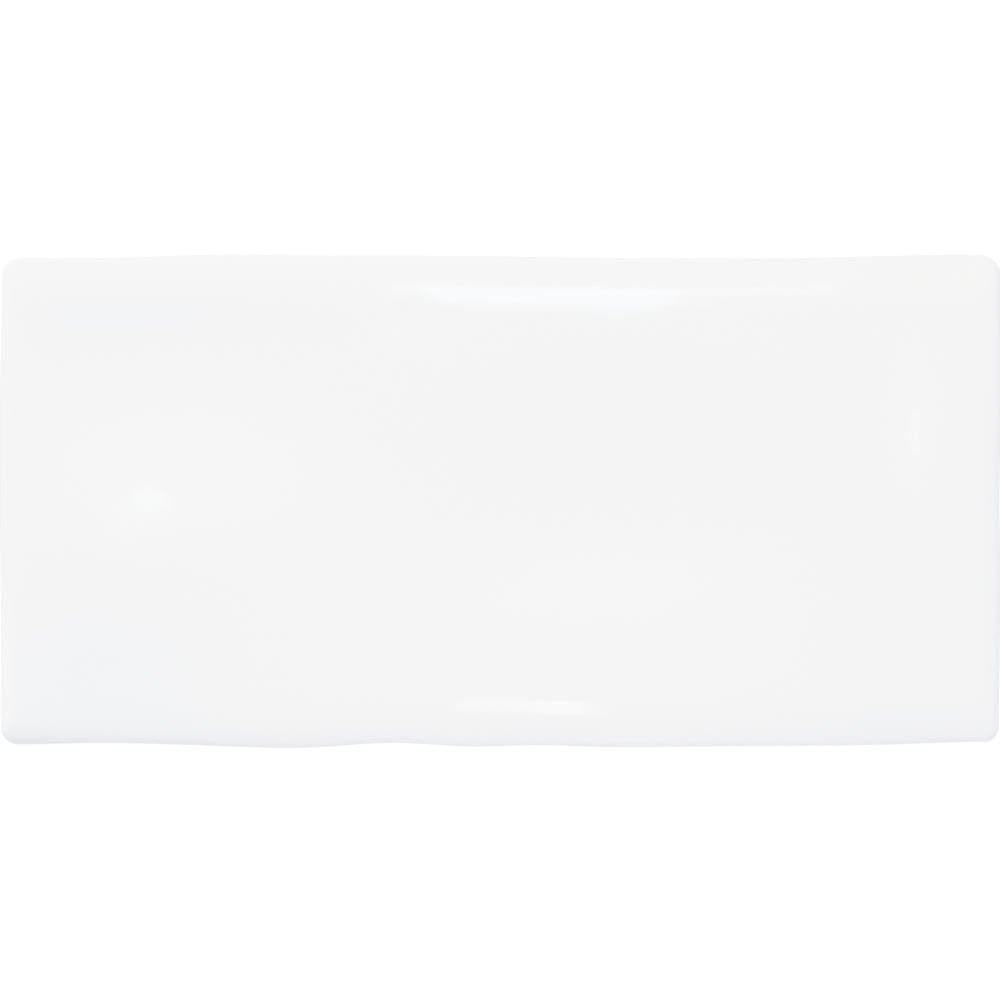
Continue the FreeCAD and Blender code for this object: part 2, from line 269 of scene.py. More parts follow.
# %% A rectangle to match it
def rectangle_loop(half_x, half_y):
    """A rectangle's points, matched one to one with the outline's."""
    xs = np.linspace(-half_x, half_x, LONG_CELLS + 1)
    ys = np.linspace(-half_y, half_y, SHORT_CELLS + 1)
    lower = np.stack([xs[:-1], np.full(LONG_CELLS, -half_y)], axis=1)
    right = np.stack([np.full(SHORT_CELLS, half_x), ys[:-1]], axis=1)
    return np.concatenate([lower, right, -lower, -right])


# %% [markdown]
# ## The section, from the face down to the back
# Walking outward from the flat of the face, the section has these parts: the shoulder, the rim's round,
# the glazed wall, the bead where the glaze stopped, the bare clay wall, and the worn lower edge. The rim's
# round is a ball rolled along the edge: it touches the sloping face above and the upright wall beside it,
# so its first point depends on how steep the face is just there. A few turns of a loop find it.

# %% Where the rim's round begins
# The slope is measured over this distance to either side, and bettered in this many turns.
PROBE = 0.05
SLOPE_TURNS = 6


def inward(distance):
    """The outline's points, moved in along their normals."""
    return outline - normals * np.broadcast_to(distance, len(outline))[:, None]


slope = np.zeros(len(outline))
for attempt in range(SLOPE_TURNS):
    touch = RIM_RADIUS * (1 - np.sin(slope))
    inner, outer = inward(touch + PROBE), inward(touch - PROBE)
    slope = np.arctan((face_height(*inner.T) - face_height(*outer.T)) / (2 * PROBE))
touch_loop = inward(touch)
ball_height = face_height(*touch_loop.T) - RIM_RADIUS * np.cos(slope)
print("slope where the rim's round begins:", np.degrees(slope.min()).round(1), "to",
      np.degrees(slope.max()).round(1), "degrees")

# %% Loops of the shoulder and the rim
SHOULDER_LOOPS = 18
RIM_LOOPS = 10
# How strongly the shoulder's loops crowd towards the rim. At 1 they are evenly spaced.
LOOP_CROWDING = 1.4
# How far in from the mean rectangle the plain grid of the face ends.
GRID_INSET = 12.0

grid_half = (FACE_LENGTH / 2 - GRID_INSET, FACE_WIDTH / 2 - GRID_INSET)
inner_loop = rectangle_loop(*grid_half)


def lifted(flat, height):
    """Gives a loop of flat points its heights."""
    return np.column_stack([flat, np.broadcast_to(height, len(flat))])


loops = []
for step in range(SHOULDER_LOOPS + 1):
    share = 1 - (1 - step / SHOULDER_LOOPS) ** LOOP_CROWDING
    flat = inner_loop + (touch_loop - inner_loop) * share
    loops.append(lifted(flat, face_height(*flat.T)))
for step in range(1, RIM_LOOPS + 1):
    lean = slope + (np.pi / 2 - slope) * step / RIM_LOOPS
    loops.append(lifted(inward(RIM_RADIUS * (1 - np.sin(lean))), ball_height + RIM_RADIUS * np.cos(lean)))
rim_end = len(loops) - 1
print("the rim ends", round(float(ball_height.min()), 2), "to", round(float(ball_height.max()), 2), "mm up")

# %% [markdown]
# ## Where the glaze stops
# Glaze is poured over the tile and runs down its sides, and it stops in a wavering line with short runs
# below it. It is a quarter of a millimetre thick and ends in a round bead. The line is a sum of slow waves
# round the tile, less the runs. A random draw with a fixed seed places both, so that every build gives the
# same tile. The clay wall below stands back by the thickness of the glaze.

# %% The glaze line
# The line's mean height, its sway, and how often each of its waves goes up and down round the tile.
LINE_HEIGHT = 3.1
LINE_SWAY = 0.22
LINE_WAVES = (2, 5, 9, 14, 23)
# How many runs there are, and the shortest and longest, the narrowest and widest of them.
RUNS = 22
RUN_LENGTH = (0.25, 1.1)
RUN_WIDTH = (1.3, 2.6)
DRAW_SEED = 15

draw = np.random.default_rng(DRAW_SEED)
around = 2 * np.pi * travel / girth
glaze_line = LINE_HEIGHT + LINE_SWAY * sum(
    np.sin(waves * around + shift) / np.sqrt(waves)
    for waves, shift in zip(LINE_WAVES, draw.uniform(0, 2 * np.pi, len(LINE_WAVES)))
)
for at, run_length, run_width in zip(
        draw.uniform(0, girth, RUNS), draw.uniform(*RUN_LENGTH, RUNS), draw.uniform(*RUN_WIDTH, RUNS)):
    gap = (travel - at + girth / 2) % girth - girth / 2
    glaze_line -= run_length * np.exp(-(gap / run_width) ** 2)
print("glaze line between", glaze_line.min().round(2), "and", glaze_line.max().round(2), "mm up")

# %% The glazed wall and its bead
GLAZE_THICKNESS = 0.25
# Between rim and bead the glazed wall is a little hollow, and the bead swells out over its last stretch.
WALL_HOLLOW = 0.07
BEAD_REACH = 0.8
# From this share of the way down, the wall has its full hollow.
HOLLOW_FULL = 0.5
# Where the wall has loops, as shares of the way down, and where the bead has them, in degrees round it.
WALL_SHARES = (0.25, 0.5, 0.72, 0.88)
BEAD_LEANS = (0, 22, 45, 68, 90)

for share in WALL_SHARES:
    height = ball_height + (glaze_line + GLAZE_THICKNESS - ball_height) * share
    above_bead = 1 - np.exp(-((height - glaze_line) / BEAD_REACH) ** 2)
    below_rim = min(1, share / HOLLOW_FULL)
    loops.append(lifted(inward(WALL_HOLLOW * above_bead * below_rim), height))
for lean in np.radians(BEAD_LEANS):
    depth = GLAZE_THICKNESS * (1 - np.cos(lean))
    loops.append(lifted(inward(depth), glaze_line + GLAZE_THICKNESS * (1 - np.sin(lean))))
glaze_end = len(loops) - 1
print("loops of glaze:", len(loops))

# %% The bare wall and the worn lower edge
# Where the bare wall has loops, as shares of the way from the glaze line down to the worn edge.
BARE_SHARES = (0.06, 0.5)
# How far in from the clay wall, and how high, each loop of the worn edge lies.
ARRIS = [(0.0, 0.62), (0.02, 0.42), (0.08, 0.24), (0.19, 0.09), (0.34, 0.0)]

for share in BARE_SHARES:
    loops.append(lifted(inward(GLAZE_THICKNESS), glaze_line + (ARRIS[0][1] - glaze_line) * share))
for depth, height in ARRIS:
    loops.append(lifted(inward(GLAZE_THICKNESS + depth), height))
print("loops of the whole section:", len(loops))

# %% [markdown]
# ## The back
# A pressed tile has a keyed back: a plain margin and a grid of shallow pockets between ribs, which the
# adhesive grips. It can't be seen from the front, but a tile in the hand is turned over. Cutting the
# pockets with booleans would leave slivers along every wall. Here each pocket is a short stack of loops
# like the tile's own: the plain border of its cell, then a rectangle with round corners that steps down
# the leaning wall to the floor.

# %% The grid of pockets
BACK_BORDER, RIB_WIDTH = 6.0, 3.0
POCKET_DEPTH, POCKET_CORNER = 0.7, 1.5
POCKET_DRAFT = np.radians(30)
COLUMNS, ROWS = 6, 3
pitch_x = (FACE_LENGTH - 2 * BACK_BORDER + RIB_WIDTH) / COLUMNS
pitch_y = (FACE_WIDTH - 2 * BACK_BORDER + RIB_WIDTH) / ROWS
wall_run = POCKET_DEPTH * np.tan(POCKET_DRAFT)
# How far in from the pocket's outline, and how deep, each loop lies.
POCKET_SECTION = [
    (-0.12, 0.0), (-0.03, 0.02), (0.06, 0.11), (wall_run - 0.06, POCKET_DEPTH - 0.11),
    (wall_run + 0.03, POCKET_DEPTH - 0.02), (wall_run + 0.14, POCKET_DEPTH),
]
print("pockets:", COLUMNS, "x", ROWS, "in cells of", round(pitch_x, 2), "x", round(pitch_y, 2), "mm")

# %% The loops of one pocket
# How many quads lie along a cell's side, and which way the sides face, anticlockwise from the lower one.
SIDE_CELLS = LONG_CELLS // COLUMNS
SIDE_FACINGS = np.radians((270, 360, 450, 540))


def cell_border():
    """The points round one cell of the grid, anticlockwise from its lower left corner."""
    xs = np.linspace(-pitch_x / 2, pitch_x / 2, SIDE_CELLS + 1)[:-1]
    ys = np.linspace(-pitch_y / 2, pitch_y / 2, SIDE_CELLS + 1)[:-1]
    lower = np.stack([xs, np.full(SIDE_CELLS, -pitch_y / 2)], axis=1)
    right = np.stack([np.full(SIDE_CELLS, pitch_x / 2), ys], axis=1)
    return np.concatenate([lower, right, -lower, -right])


def round_rectangle(inset):
    """A loop round the pocket, moved in from its outline by an inset."""
    radius = POCKET_CORNER - inset
    half = np.array([(pitch_x - RIB_WIDTH) / 2, (pitch_y - RIB_WIDTH) / 2]) - POCKET_CORNER
    centres = half * [(-1, -1), (1, -1), (1, 1), (-1, 1)]
    half_arc = np.radians(HALF_CORNER * np.arange(ARC_CELLS) / ARC_CELLS)
    run = np.linspace(0, 1, SIDE_CELLS - 2 * ARC_CELLS, endpoint=False)[:, None]
    points = []
    for side, facing in enumerate(SIDE_FACINGS):
        start, end = centres[side], centres[(side + 1) % len(centres)]
        straight = start + (end - start) * run + radius * np.array([np.cos(facing), np.sin(facing)])
        before, after = facing - np.radians(HALF_CORNER) + half_arc, facing + half_arc
        points.append(start + radius * np.stack([np.cos(before), np.sin(before)], axis=1))
        points.append(straight)
        points.append(end + radius * np.stack([np.cos(after), np.sin(after)], axis=1))
    return np.concatenate(points)


print("a cell's border has", len(cell_border()), "points, its pocket", len(round_rectangle(0)))

# %% [markdown]
# ## Where the glaze carries painted shade
# The glaze's colour is darkened here by painted shade. One map greys it along the lower edge, most at its
# left end, along the far and right rims, and in two broad patches on the face. The other gives a cooler,
# darker grey, painted cool shade, along the near and right edges and on the left of the face. Both maps are
# lists of soft patches, written as the swells are, with a strength from 0 to 1 for the height.

# %% Patches of painted shade and of painted cool shade
# Painted shade: greys the glaze along the lower edge, the far and right rims and two broad patches of the
# face.
PAINTED_SHADE_PATCHES = [
    (-73.0, -36.6, 0.80, 8.0, 1.8),
    (-52.0, -36.6, 0.45, 24.0, 1.8),
    (66.0, -36.6, 0.12, 16.0, 1.8),
    (58.0, 36.5, 0.13, 28.0, 2.2),
    (75.0, 31.0, 0.35, 0.9, 5.0),
    (17.0, 10.0, 0.08, 28.0, 12.0),
    (62.0, -2.0, 0.055, 18.0, 60.0),
]
# Painted cool shade: a cooler, darker grey along the near and right edges and on the left of the face.
PAINTED_COOL_SHADE_PATCHES = [
    (-60.0, -26.0, 1.00, 18.0, 12.0),
    (-60.0, -36.0, 0.35, 22.0, 5.0),
    (-55.0, 27.5, 0.75, 24.0, 4.5),
    (62.0, -34.0, 0.55, 16.0, 5.0),
    (72.0, -12.0, 0.30, 4.0, 22.0),
]
print("patches of gathered glaze:", len(PAINTED_SHADE_PATCHES), "and of cool glaze:", len(PAINTED_COOL_SHADE_PATCHES))

# %% [markdown]
# ## One closed skin
# The loops are joined band by band, the middle of the face is a plain grid, and the pockets' floors are
# single flat faces. The patches share their border points, so welding them by distance leaves one closed
# mesh with two materials on it: glaze down to its bead, bare clay below and behind. Each point also
# keeps what the glaze's colour needs and only the shape knows: how thin the glaze is there, how much
# painted shade and painted cool shade it takes, and how high the face swells.

# %% Points and bands of the skin
# The numbers of the two finishes, in the order in which the mesh gets its materials.
GLAZE, CLAY = 0, 1

points, quads, finishes, thin, shade_amounts = [], [], [], [], []


def add_points(places, thinness=0.0, wall_shade=0.0):
    """Adds points with their glaze values, and returns their numbers."""
    start = len(points)
    points.extend(map(tuple, places))
    x, y = np.transpose(places)[:2]
    thin.extend(np.broadcast_to(thinness, len(places)))
    # Painted shade at each point: the wall's own share or the patches', whichever is larger.
    shade_amounts.extend(np.maximum(wall_shade, mounds(x, y, PAINTED_SHADE_PATCHES)))
    return np.arange(start, len(points))


def add_band(near, far, finish):
    """Joins two loops with quads that face outward."""
    following = np.roll(np.arange(len(near)), -1)
    quads.extend(zip(near, far, far[following], near[following]))
    finishes.extend([finish] * len(near))


# %% The face's grid and the back's cells
def add_face_grid():
    """The middle of the face."""
    xs = np.linspace(-grid_half[0], grid_half[0], LONG_CELLS + 1)
    ys = np.linspace(-grid_half[1], grid_half[1], SHORT_CELLS + 1)
    x, y = (values.ravel() for values in np.meshgrid(xs, ys, indexing="ij"))
    numbers = add_points(np.stack([x, y, face_height(x, y)], axis=1)).reshape(len(xs), len(ys))
    corners = (numbers[:-1, :-1], numbers[1:, :-1], numbers[1:, 1:], numbers[:-1, 1:])
    quads.extend(zip(*(corner.ravel() for corner in corners)))
    finishes.extend([GLAZE] * (LONG_CELLS * SHORT_CELLS))


def add_pocket(centre):
    """One cell of the back, with its pocket."""
    near = add_points(lifted(cell_border() + centre, 0.0))
    for inset, depth in POCKET_SECTION:
        far = add_points(lifted(round_rectangle(inset) + centre, depth))
        add_band(near, far, CLAY)
        near = far
    quads.append(tuple(near[::-1]))
    finishes.append(CLAY)


# %% Build the skin
MARGIN_BANDS = 3
# Over this distance in from the rim the glaze thickens again.
THIN_FADE = 1.3
# Down the wall the painted shade deepens faster than the wall falls, so it is darkest before the bead.
SHADE_PACE = 1.6

add_face_grid()
wall_loops = glaze_end - rim_end
numbers = []
for index, loop in enumerate(loops):
    inset = np.linalg.norm(loop[:, :2] - touch_loop, axis=1)
    if index <= SHOULDER_LOOPS:
        glaze = (np.exp(-inset / THIN_FADE), 0.0)
    elif index <= rim_end:
        glaze = (1.0, 0.0)
    else:
        # Down the wall the glaze thins less, and its painted shade darkens towards the bead.
        down = min(1.0, (index - rim_end) / wall_loops * SHADE_PACE)
        glaze = (1 - down, down ** 2)
    numbers.append(add_points(loop, *glaze))
for index in range(len(loops) - 1):
    add_band(numbers[index], numbers[index + 1], GLAZE if index < glaze_end else CLAY)
near = numbers[-1]
foot_loop = loops[-1][:, :2]
key_loop = rectangle_loop(pitch_x * COLUMNS / 2, pitch_y * ROWS / 2)
for band in range(1, MARGIN_BANDS + 1):
    far = add_points(lifted(foot_loop + (key_loop - foot_loop) * band / MARGIN_BANDS, 0.0))
    add_band(near, far, CLAY)
    near = far
for column in range(COLUMNS):
    for row in range(ROWS):
        add_pocket(((column - COLUMNS / 2 + 0.5) * pitch_x, (row - ROWS / 2 + 0.5) * pitch_y))
print("before the weld:", len(points), "points and", len(quads), "faces")

# %% Weld it and put it in the tile's place
WELD = 0.001

mesh = bpy.data.meshes.new("glazed_tile")
spots = [tuple(np.array(point) * MM) for point in points]
faces = [[int(number) for number in quad] for quad in quads]
mesh.from_pydata(spots, [], faces)
mesh.attributes.new("thin_glaze", "FLOAT", "POINT").data.foreach_set("value", thin)
# Painted shade, for the glaze's colour.
mesh.attributes.new("painted_shade", "FLOAT", "POINT").data.foreach_set("value", shade_amounts)
mesh.polygons.foreach_set("material_index", finishes)
mesh.polygons.foreach_set("use_smooth", [True] * len(quads))

welded = bmesh.new()
welded.from_mesh(mesh)
bmesh.ops.remove_doubles(welded, verts=welded.verts, dist=WELD * MM)
open_edges = sum(not edge.is_manifold for edge in welded.edges)
volume = welded.calc_volume(signed=True)
triangles = sum(len(face.verts) - 2 for face in welded.faces)
welded.to_mesh(mesh)
welded.free()
places = np.empty(3 * len(mesh.vertices))
mesh.vertices.foreach_get("co", places)
x, y = places.reshape(-1, 3)[:, :2].T / MM
mesh.attributes.new("swell", "FLOAT", "POINT").data.foreach_set("value", mounds(x, y, SWELLS))
# Painted cool shade, for the glaze's colour.
mesh.attributes.new("painted_cool_shade", "FLOAT", "POINT").data.foreach_set("value", mounds(x, y, PAINTED_COOL_SHADE_PATCHES))
print("skin:", triangles, "triangles,", open_edges, "open edges,", round(volume / CM ** 3, 2), "cm3")

tile = bpy.data.objects.new("glazed_tile", mesh)
bpy.context.collection.objects.link(tile)
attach(tile, "root")
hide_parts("tile")

# %% [markdown]
# ## Shared effects
# Glaze and bare clay both drift in tone, and both have small pits: pinholes in the glaze, pores in the
# clay. Each effect is a node group, built once and given its own values in each material. A group only
# measures something over the surface. The colours and the shader stay in the material.

# %% A helper that adds a node
def add_node(tree, kind, inputs=None, **settings):
    """Adds a node, then sets its settings and its inputs: a value, or a socket to link from."""
    made = tree.nodes.new(kind)
    for name, value in settings.items():
        setattr(made, name, value)
    for name, value in (inputs or {}).items():
        if isinstance(value, bpy.types.NodeSocket):
            tree.links.new(value, made.inputs[name])
        else:
            made.inputs[name].default_value = value
    return made


def start_group(name, inputs, output):
    """A new node group with float inputs and one float output."""
    group = bpy.data.node_groups.new(name, "ShaderNodeTree")
    for label, value in inputs.items():
        socket = group.interface.new_socket(label, in_out="INPUT", socket_type="NodeSocketFloat")
        socket.default_value = value
    group.interface.new_socket(output, in_out="OUTPUT", socket_type="NodeSocketFloat")
    print("effect", name, "takes", list(inputs), "and gives", output)
    return group, add_node(group, "NodeGroupInput"), add_node(group, "NodeGroupOutput")


def use_group(tree, group, **values):
    """Places a group in a material with values of its own."""
    return add_node(tree, "ShaderNodeGroup", values, node_tree=group)


# %% Tone drift: a soft, slow change between two values
# The noise seldom leaves this range, which is spread over the two values.
CLOUD_LOW, CLOUD_HIGH = 0.32, 0.68

tone_drift, given, result = start_group("tone_drift", {"Scale": 30, "Low": 0, "High": 1}, "Value")
place = add_node(tone_drift, "ShaderNodeTexCoord").outputs["Object"]
cloud = add_node(tone_drift, "ShaderNodeTexNoise", {
    "Vector": place, "Scale": given.outputs["Scale"], "Detail": 2.0, "Roughness": 0.45,
})
spread = add_node(tone_drift, "ShaderNodeMapRange", {
    "Value": cloud.outputs["Fac"], "From Min": CLOUD_LOW, "From Max": CLOUD_HIGH,
    "To Min": given.outputs["Low"], "To Max": given.outputs["High"],
})
tone_drift.links.new(spread.outputs["Result"], result.inputs["Value"])

# %% Grain: fine height for a bump
grain, given, result = start_group("grain", {"Scale": 2000, "Detail": 3}, "Height")
place = add_node(grain, "ShaderNodeTexCoord").outputs["Object"]
speck = add_node(grain, "ShaderNodeTexNoise", {
    "Vector": place, "Scale": given.outputs["Scale"], "Detail": given.outputs["Detail"], "Roughness": 0.6,
})
grain.links.new(speck.outputs["Fac"], result.inputs["Height"])

# %% Pits: round spots in a few of the cells of a scattered pattern
pits, given, result = start_group("pits", {"Scale": 90, "Radius": 0.03, "Share": 0.3}, "Mask")
place = add_node(pits, "ShaderNodeTexCoord").outputs["Object"]
cells = add_node(pits, "ShaderNodeTexVoronoi", {"Vector": place, "Scale": given.outputs["Scale"]})
spot = add_node(pits, "ShaderNodeMapRange", {
    "Value": cells.outputs["Distance"], "From Min": 0.0, "From Max": given.outputs["Radius"],
    "To Min": 1.0, "To Max": 0.0,
}, interpolation_type="SMOOTHSTEP")
chance = add_node(pits, "ShaderNodeSeparateColor", {"Color": cells.outputs["Color"]})
kept = add_node(pits, "ShaderNodeMath", operation="LESS_THAN")
pits.links.new(chance.outputs["Red"], kept.inputs[0])
pits.links.new(given.outputs["Share"], kept.inputs[1])
both = add_node(pits, "ShaderNodeMath", operation="MULTIPLY")
pits.links.new(spot.outputs["Result"], both.inputs[0])
pits.links.new(kept.outputs["Value"], both.inputs[1])
pits.links.new(both.outputs["Value"], result.inputs["Mask"])


# %% [markdown]
# ## The glaze
# White glaze is a thin layer of glass over a white ground. A plain white with low roughness would give
# the right gloss but the look of plastic. Here the white is painted lighter on the face's hills, a painted
# sheen, greyer in the patches of painted shade and cooler in those of painted cool shade mapped above. It
# drifts a little everywhere, is a touch cooler over the rim, and holds a few faint pinholes. The gloss
# comes from the shader's own reflection, so no coat is needed.

# %% A helper that mixes two colours
# A Mix node has sockets for every kind of value. These are the numbers of the ones for colours.
MIX_FACTOR, MIX_LOW, MIX_HIGH, MIX_RESULT = 0, 6, 7, 2


def mix_colours(tree, factor, low, high):
    """A mix of two colours, each a value or a socket."""
    mixed = add_node(tree, "ShaderNodeMix", data_type="RGBA")
    for socket, value in ((MIX_FACTOR, factor), (MIX_LOW, low), (MIX_HIGH, high)):
        if isinstance(value, bpy.types.NodeSocket):
            tree.links.new(value, mixed.inputs[socket])
        else:
            mixed.inputs[socket].default_value = value
    return mixed.outputs[MIX_RESULT]


def new_material(name):
    """A material with only an output and a Principled shader."""
    material = bpy.data.materials.new(name)
    material.use_nodes = True
    tree = material.node_tree
    shader = next(node for node in tree.nodes if node.type == "BSDF_PRINCIPLED")
    return material, tree, shader


def measured(tree, name):
    """A value that the mesh keeps at each point."""
    return add_node(tree, "ShaderNodeAttribute", attribute_name=name).outputs["Fac"]


# %% White glaze
GLAZE_WHITE = (0.8962, 0.8945, 0.8903, 1)
# A lighter white: painted sheen on the face's hills.
GLAZE_PAINTED_SHEEN = (0.9122, 0.9105, 0.9043, 1)
# A cooler grey for the painted cool shade and for the glaze's random drift.
GLAZE_COOL = (0.8802, 0.8845, 0.8963, 1)
GLAZE_RIM = (0.892, 0.893, 0.898, 1)
# A grey for the painted shade along the edges, down the walls and in a few patches of the face.
GLAZE_PAINTED_SHADE = (0.806, 0.808, 0.812, 1)
PINHOLE = (0.80, 0.79, 0.77, 1)
# The swell at which the painted sheen is at its full, in millimetres.
SWELL_FULL = 0.15
GLAZE_IOR = 1.52
# The depth of the glaze's finest unevenness, in metres.
PEEL_DEPTH = 0.000012

glaze, tree, shader = new_material("white_glaze")
# Painted sheen: the glaze is lighter where the face swells up.
hill = add_node(tree, "ShaderNodeMapRange", {
    "Value": measured(tree, "swell"), "From Min": 0.0, "From Max": SWELL_FULL,
})
white = mix_colours(tree, hill.outputs["Result"], GLAZE_WHITE, GLAZE_PAINTED_SHEEN)
# Painted cool shade from the mesh's map.
white = mix_colours(tree, measured(tree, "painted_cool_shade"), white, GLAZE_COOL)
drift = use_group(tree, tone_drift, Scale=26.0, Low=0.0, High=0.15).outputs["Value"]
white = mix_colours(tree, drift, white, GLAZE_COOL)
white = mix_colours(tree, measured(tree, "thin_glaze"), white, GLAZE_RIM)
# Painted shade from the mesh's map.
white = mix_colours(tree, measured(tree, "painted_shade"), white, GLAZE_PAINTED_SHADE)
holes = use_group(tree, pits, Scale=160.0, Radius=0.03, Share=0.16).outputs["Mask"]
white = mix_colours(tree, holes, white, PINHOLE)
tree.links.new(white, shader.inputs["Base Color"])
softness = use_group(tree, tone_drift, Scale=60.0, Low=0.03, High=0.055).outputs["Value"]
tree.links.new(softness, shader.inputs["Roughness"])
shader.inputs["IOR"].default_value = GLAZE_IOR
peel = use_group(tree, grain, Scale=420.0, Detail=1.0).outputs["Height"]
sunk = add_node(tree, "ShaderNodeMath", operation="SUBTRACT")
tree.links.new(peel, sunk.inputs[0])
tree.links.new(holes, sunk.inputs[1])
relief = add_node(tree, "ShaderNodeBump", {
    "Height": sunk.outputs["Value"], "Strength": 0.3, "Distance": PEEL_DEPTH,
})
tree.links.new(relief.outputs["Normal"], shader.inputs["Normal"])
print(glaze.name, "has", len(tree.nodes), "nodes")

# %% [markdown]
# ## The bare clay
# Below the glaze line and over the back the fired clay shows: warm, dull and finely grained, with open
# pores. The tops of the ribs carry a pale kiln wash, which keeps tiles from sticking to the rollers and is
# rubbed on wherever the back touched them. So the wash follows the height above the back's own plane.

# %% Bare clay
CLAY_LIGHT = (0.80, 0.745, 0.665, 1)
CLAY_WARM = (0.735, 0.665, 0.575, 1)
KILN_WASH = (0.88, 0.865, 0.83, 1)
PORE = (0.45, 0.39, 0.32, 1)
# How high above the back's plane the kiln wash ends, and the depth of the clay's grain, in metres.
WASH_HEIGHT = 0.00012
SAND_DEPTH = 0.00008

clay, tree, shader = new_material("bare_clay")
drift = use_group(tree, tone_drift, Scale=55.0, Low=0.0, High=1.0).outputs["Value"]
colour = mix_colours(tree, drift, CLAY_LIGHT, CLAY_WARM)
height = add_node(tree, "ShaderNodeSeparateXYZ", {
    "Vector": add_node(tree, "ShaderNodeTexCoord").outputs["Object"],
}).outputs["Z"]
touched = add_node(tree, "ShaderNodeMapRange", {
    "Value": height, "From Min": 0.0, "From Max": WASH_HEIGHT, "To Min": 1.0, "To Max": 0.0,
}).outputs["Result"]
patchy = use_group(tree, tone_drift, Scale=170.0, Low=0.25, High=0.95).outputs["Value"]
wash = add_node(tree, "ShaderNodeMath", operation="MULTIPLY")
tree.links.new(touched, wash.inputs[0])
tree.links.new(patchy, wash.inputs[1])
colour = mix_colours(tree, wash.outputs["Value"], colour, KILN_WASH)
pores = use_group(tree, pits, Scale=900.0, Radius=0.16, Share=0.25).outputs["Mask"]
colour = mix_colours(tree, pores, colour, PORE)
tree.links.new(colour, shader.inputs["Base Color"])
dullness = use_group(tree, tone_drift, Scale=240.0, Low=0.78, High=0.95).outputs["Value"]
tree.links.new(dullness, shader.inputs["Roughness"])
sand = use_group(tree, grain, Scale=3200.0, Detail=4.0).outputs["Height"]
pitted = add_node(tree, "ShaderNodeMath", operation="SUBTRACT")
tree.links.new(sand, pitted.inputs[0])
tree.links.new(pores, pitted.inputs[1])
relief = add_node(tree, "ShaderNodeBump", {
    "Height": pitted.outputs["Value"], "Strength": 0.6, "Distance": SAND_DEPTH,
})
tree.links.new(relief.outputs["Normal"], shader.inputs["Normal"])

mesh.materials.append(glaze)
mesh.materials.append(clay)
print("finishes on the tile:", [material.name for material in mesh.materials])

# %% [markdown]
# ## The floor
# The photograph's ground is pure white. The floor gives off its own white where the camera or a
# reflection looks at it, and keeps a share of real, lit white so that the tile still casts its shadow. To
# the light that bounces up at the tile's sides it is a plain pale floor.

# %% Which rays see the floor's own white
def seen_directly(tree):
    """1 for rays from the camera, a reflection or a clear object, and 0 for light that lights things."""
    rays = add_node(tree, "ShaderNodeLightPath")
    seen = rays.outputs["Is Camera Ray"]
    for name in ("Is Glossy Ray", "Is Transmission Ray"):
        either = add_node(tree, "ShaderNodeMath", operation="MAXIMUM")
        tree.links.new(seen, either.inputs[0])
        tree.links.new(rays.outputs[name], either.inputs[1])
        seen = either.outputs["Value"]
    return seen


# %% A pale floor
# Half the floor's width, in metres.
FLOOR_HALF = 3.0
FLOOR_PALE = (0.83, 0.83, 0.83, 1)
FLOOR_LIT_SHARE = (0.16, 0.16, 0.16, 1)
FLOOR_GLOW = 0.88

floor_mesh = bpy.data.meshes.new("floor")
corners = [(-FLOOR_HALF, -FLOOR_HALF, 0), (FLOOR_HALF, -FLOOR_HALF, 0)]
corners += [(FLOOR_HALF, FLOOR_HALF, 0), (-FLOOR_HALF, FLOOR_HALF, 0)]
floor_mesh.from_pydata(corners, [], [(0, 1, 2, 3)])
floor = bpy.data.objects.new("floor", floor_mesh)
bpy.context.collection.objects.link(floor)

paper = bpy.data.materials.new("pale_floor")
paper.use_nodes = True
tree = paper.node_tree
tree.nodes.clear()
pale = add_node(tree, "ShaderNodeBsdfDiffuse", {"Color": FLOOR_PALE})
lit = add_node(tree, "ShaderNodeBsdfDiffuse", {"Color": FLOOR_LIT_SHARE})
glow = add_node(tree, "ShaderNodeEmission", {"Color": (1, 1, 1, 1), "Strength": FLOOR_GLOW})
shown = add_node(tree, "ShaderNodeAddShader")
tree.links.new(lit.outputs["BSDF"], shown.inputs[0])
tree.links.new(glow.outputs["Emission"], shown.inputs[1])
choice = add_node(tree, "ShaderNodeMixShader")
tree.links.new(seen_directly(tree), choice.inputs[0])
tree.links.new(pale.outputs["BSDF"], choice.inputs[1])
tree.links.new(shown.outputs["Shader"], choice.inputs[2])
surface = add_node(tree, "ShaderNodeOutputMaterial")
tree.links.new(choice.outputs["Shader"], surface.inputs["Surface"])
floor_mesh.materials.append(paper)
print("floor:", 2 * FLOOR_HALF, "m wide")

# %% [markdown]
# ## The light
# The tile was lit as in a light tent: white on every side, and a little brighter on the far left, which
# lightens the far and left rims and leaves the near and right rims a cool, soft grey. The world does this
# with its colour set by direction. Small panes of light hang close to the camera's line. The far shoulder
# mirrors the largest as the long bright sliver near the top. A hem, a fringe, a start, an end and a tail
# beside it give that sliver its soft sides and thin ends. The near shoulder mirrors a pane and its tail,
# and the nearly flat face mirrors a spot with its halo and a streak. The size and place of each pane
# follow from the mirror's law and the slope of the face.

# %% The tent: a world that is brighter towards the far left
TENT_LEAN = Vector((-0.6, 0.8, 0.0))
TENT_BRIGHT = (1.164, 1.155, 1.096, 1)
TENT_DIM = (0.84, 0.848, 0.912, 1)

